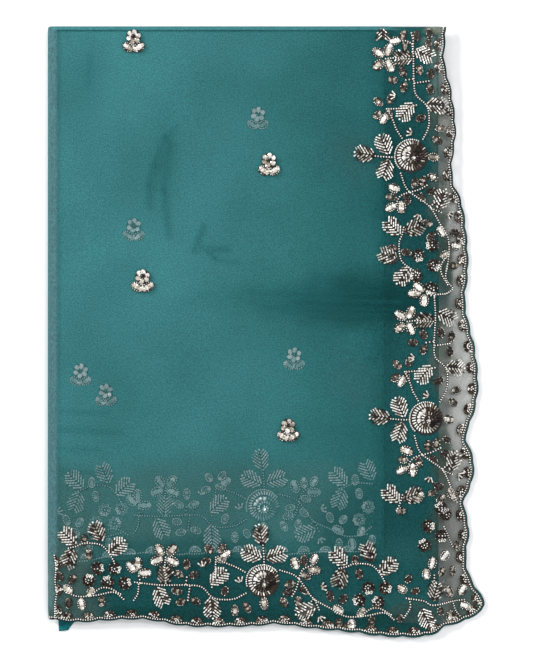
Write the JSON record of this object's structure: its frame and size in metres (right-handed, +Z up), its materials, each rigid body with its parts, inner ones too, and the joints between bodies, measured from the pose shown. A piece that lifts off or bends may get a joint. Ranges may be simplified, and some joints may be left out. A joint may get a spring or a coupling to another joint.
{
  "type": "folded saree",
  "caption": "Sheer saree folded flat into a bundle, with a scalloped beaded border along two sides and small field sprigs",
  "frame": {"origin": "middle of the bundle's box in X and Y, on the surface that the bundle lies on", "axes": "+X across the bundle towards the scalloped free edge, +Y up to the lengthwise fold, +Z up from the surface"},
  "size_m": [0.4378, 0.6126, 0.0176],
  "materials": {
    "top_cloth": "sheer teal organza with a fine crinkled grain",
    "second_cloth": "sheer teal organza, seen through the layer above",
    "hidden_cloth": "teal organza, dark where many layers lie together",
    "glass_beads": "bronze brown glass beads and bugles",
    "sequins": "champagne sequins"
  },
  "bodies": {
    "root": {"hidden_layers": "hidden_cloth", "second_layer": "second_cloth", "top_layer": "top_cloth", "loose_corner": "hidden_cloth", "edge_bead_line": "glass_beads", "rosette_right_1": "glass_beads", "vine_in_right_1": "glass_beads", "vine_out_right_1": "glass_beads", "crown_leaves_right_1": "glass_beads", "leaf_sprig_right_1": "glass_beads", "rosette_right_2": "glass_beads", "vine_in_right_2": "glass_beads", "vine_out_right_2": "glass_beads", "crown_leaves_right_2": "glass_beads", "leaf_sprig_right_2": "glass_beads", "rosette_lower": "glass_beads", "vine_in_lower": "glass_beads", "vine_out_lower": "glass_beads", "crown_leaves_lower": "glass_beads", "leaf_sprig_lower": "glass_beads", "leaf_sprig_far": "glass_beads", "corner_vine": "glass_beads", "bead_flower_1": "glass_beads", "bead_flower_2": "glass_beads", "bead_flower_3": "glass_beads", "bead_flower_4": "glass_beads", "bead_flower_5": "glass_beads", "bead_flower_6": "glass_beads", "bead_flower_7": "glass_beads", "bead_flower_8": "glass_beads", "bead_flower_9": "glass_beads", "bead_flower_10": "glass_beads", "bead_flower_11": "glass_beads", "bead_flower_12": "glass_beads", "bead_flower_13": "glass_beads", "bead_flower_14": "glass_beads", "bead_flower_15": "glass_beads", "bead_flower_16": "glass_beads", "bead_flower_17": "glass_beads", "bead_flower_18": "glass_beads", "bead_flower_19": "glass_beads", "field_sprig_1": "sequins", "field_sprig_2": "sequins", "field_sprig_3": "sequins", "field_sprig_4": "sequins"}
  },
  "joints": []
}
